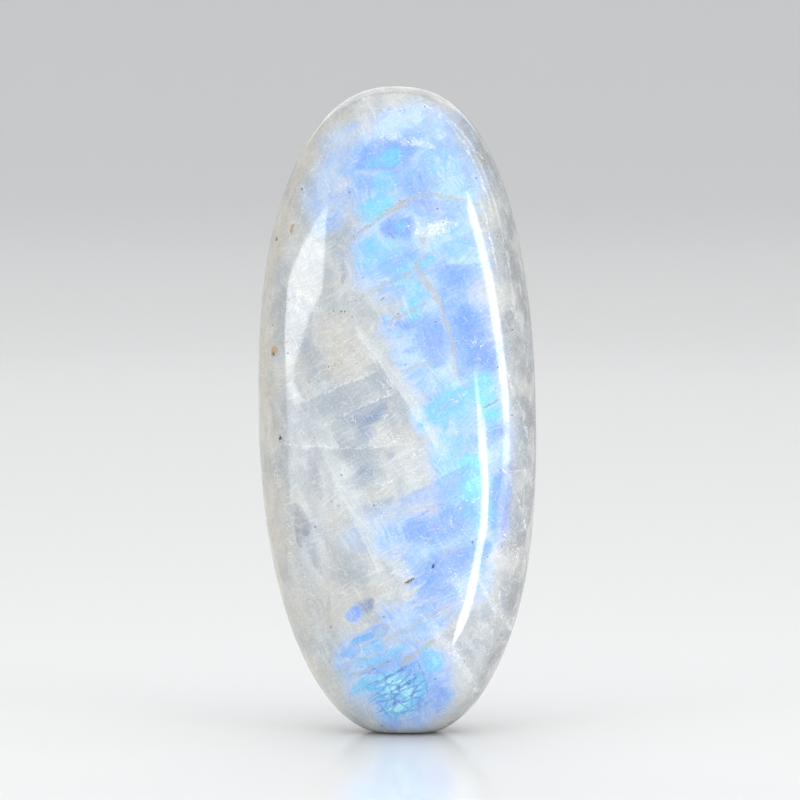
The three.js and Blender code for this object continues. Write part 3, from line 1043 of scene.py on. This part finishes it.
# The floor is flat out to its radius, and from there the cove rises outwards, in metres.
FLOOR_RADIUS = 0.4
COVE_RADIUS = 1.3
COVE_HEIGHT = 1.1
COVE_STEPS = 40
COVE_SIDES = 96
WELD_DISTANCE = 1e-5
FLOOR_COLOUR = shade(248, 248, 247)
FLOOR_ROUGHNESS = 0.08

# The camera looks down by CAMERA_RISE degrees, and takes in PICTURE_WIDTH at the stone.
CAMERA_LENS = 200.0
CAMERA_SENSOR = 36.0
CAMERA_RISE = 4.5
CAMERA_CLIP = (0.01, 10.0)
PICTURE_WIDTH = 61.8 * MM
PICTURE_MIDDLE = Vector((0.2, 0.0, 25.8)) * MM

# Softboxes: where the stone's middle sees each one, how wide and tall it looks from there and how it
# is rolled, all in degrees, and how bright it is.
SOFTBOXES = [
    dict(name="left_softbox", azimuth=-60, rise=7, wide=32, tall=14.5, roll=20, radiance=6.5),
    dict(name="right_softbox", azimuth=62.5, rise=9.5, wide=8, tall=36, roll=42, radiance=8.0),
    dict(name="right_strip", azimuth=97, rise=34, wide=2.5, tall=60, roll=12, radiance=4.0),
    dict(name="top_softbox", azimuth=10, rise=78, wide=60, tall=60, roll=0, radiance=1.6),
    dict(name="back_softbox", azimuth=180, rise=40, wide=60, tall=45, roll=0, radiance=1.2),
]
LIGHT_DISTANCE = 0.55

# Narrow lights just over the floor: where the near end is in millimetres, which way each one points
# away from it and rises in degrees, and how long and wide it is in metres.
LOW_STRIPS = [
    dict(name="right_near_strip", x=9.0, y=-14.0, azimuth=46, rise=0.0, length=0.5, wide=0.012),
    dict(name="right_far_strip", x=49.8, y=-47.6, azimuth=39.5, rise=2.3, length=0.44, wide=0.02),
]
STRIP_HEIGHT = 1.0 * MM
STRIP_RADIANCE = 12.0

AIR_COLOUR = (0.95, 0.97, 1.0, 1.0)
AIR_STRENGTH = 0.55


def studio_bowl():
    """A floor that curves up ever more steeply into a wall, the same from every side."""
    bm = bmesh.new()
    profile = [(0.0, 0.0)]
    for step in range(COVE_STEPS + 1):
        out = COVE_RADIUS * step / COVE_STEPS
        profile.append((FLOOR_RADIUS + out, COVE_HEIGHT * (out / COVE_RADIUS) ** 3))
    verts = [bm.verts.new((r, 0, h)) for r, h in profile]
    edges = [bm.edges.new(pair) for pair in zip(verts, verts[1:])]
    full_turn = dict(cent=(0, 0, 0), axis=(0, 0, 1), angle=math.tau, use_merge=True)
    bmesh.ops.spin(bm, geom=verts + edges, steps=COVE_SIDES, **full_turn)
    bmesh.ops.remove_doubles(bm, verts=bm.verts, dist=WELD_DISTANCE)
    bmesh.ops.recalc_face_normals(bm, faces=bm.faces)
    if bm.faces[0].normal.z < 0:
        bmesh.ops.reverse_faces(bm, faces=bm.faces)
    for face in bm.faces:
        face.smooth = True
    mesh = bpy.data.meshes.new("studio_bowl")
    bm.to_mesh(mesh)
    bm.free()
    bowl = bpy.data.objects.new("studio_bowl", mesh)
    bpy.context.scene.collection.objects.link(bowl)
    material = bpy.data.materials.new("pale_ground")
    material.use_nodes = True
    shader = material.node_tree.nodes["Principled BSDF"]
    shader.inputs["Base Color"].default_value = FLOOR_COLOUR
    shader.inputs["Roughness"].default_value = FLOOR_ROUGHNESS
    mesh.materials.append(material)
    return bowl


def area_light(name, shape, wide, tall, radiance, place):
    light = bpy.data.lights.new(name, "AREA")
    light.shape = shape
    light.size, light.size_y = wide, tall
    light.energy = radiance * math.pi * wide * tall * (math.pi / 4 if shape == "ELLIPSE" else 1)
    made = bpy.data.objects.new(name, light)
    made.matrix_world = place
    made.visible_camera = False
    bpy.context.scene.collection.objects.link(made)


def pointing(azimuth, rise):
    """The unit vector that far round from the best face's side, and that far up, both in degrees."""
    round_it, up = math.radians(azimuth), math.radians(rise)
    level = math.cos(up)
    return Vector((math.sin(round_it) * level, -math.cos(round_it) * level, math.sin(up)))


def softbox(name, azimuth, rise, wide, tall, roll, radiance):
    """A rectangular light, placed and sized by the angles at which the stone's middle sees it."""
    away = pointing(azimuth, rise)
    facing = away.to_track_quat("Z", "Y").to_matrix().to_4x4()
    turned = facing @ Matrix.Rotation(math.radians(roll), 4, "Z")
    wide, tall = (2 * LIGHT_DISTANCE * math.tan(math.radians(angle) / 2) for angle in (wide, tall))
    place = Matrix.Translation((STONE_LOW + STONE_HIGH) / 2 + away * LIGHT_DISTANCE)
    area_light(name, "RECTANGLE", wide, tall, radiance, place @ turned)


def low_strip(name, x, y, azimuth, rise, length, wide):
    """A narrow light just over the floor, on from its near end, which is at x and y millimetres."""
    middle = Vector((x * MM, y * MM, STRIP_HEIGHT)) + pointing(azimuth, rise) * length / 2
    tipped = Matrix.Rotation(math.pi - math.radians(rise), 4, "X")
    turned = Matrix.Rotation(math.radians(azimuth), 4, "Z") @ tipped
    area_light(name, "ELLIPSE", wide, length, STRIP_RADIANCE, Matrix.Translation(middle) @ turned)


def studio_lights():
    for values in SOFTBOXES:
        softbox(**values)
    for values in LOW_STRIPS:
        low_strip(**values)
    world = bpy.data.worlds.new("studio_air")
    world.use_nodes = True
    background = world.node_tree.nodes["Background"]
    background.inputs["Color"].default_value = AIR_COLOUR
    background.inputs["Strength"].default_value = AIR_STRENGTH
    bpy.context.scene.world = world


def studio_camera():
    camera = bpy.data.cameras.new("studio_camera")
    camera.lens, camera.sensor_width = CAMERA_LENS, CAMERA_SENSOR
    camera.clip_start, camera.clip_end = CAMERA_CLIP
    away = pointing(0, CAMERA_RISE)
    place = PICTURE_MIDDLE + away * PICTURE_WIDTH * CAMERA_LENS / CAMERA_SENSOR
    facing = away.to_track_quat("Z", "Y").to_matrix().to_4x4()
    made = bpy.data.objects.new("studio_camera", camera)
    made.matrix_world = Matrix.Translation(place) @ facing
    bpy.context.scene.collection.objects.link(made)
    bpy.context.scene.camera = made


stone = polished_stone()
stone.data.materials.append(moonstone())
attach(stone, "root")
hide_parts("moonstone")

studio_bowl()
studio_lights()
studio_camera()
bpy.context.scene.view_settings.view_transform = "Standard"
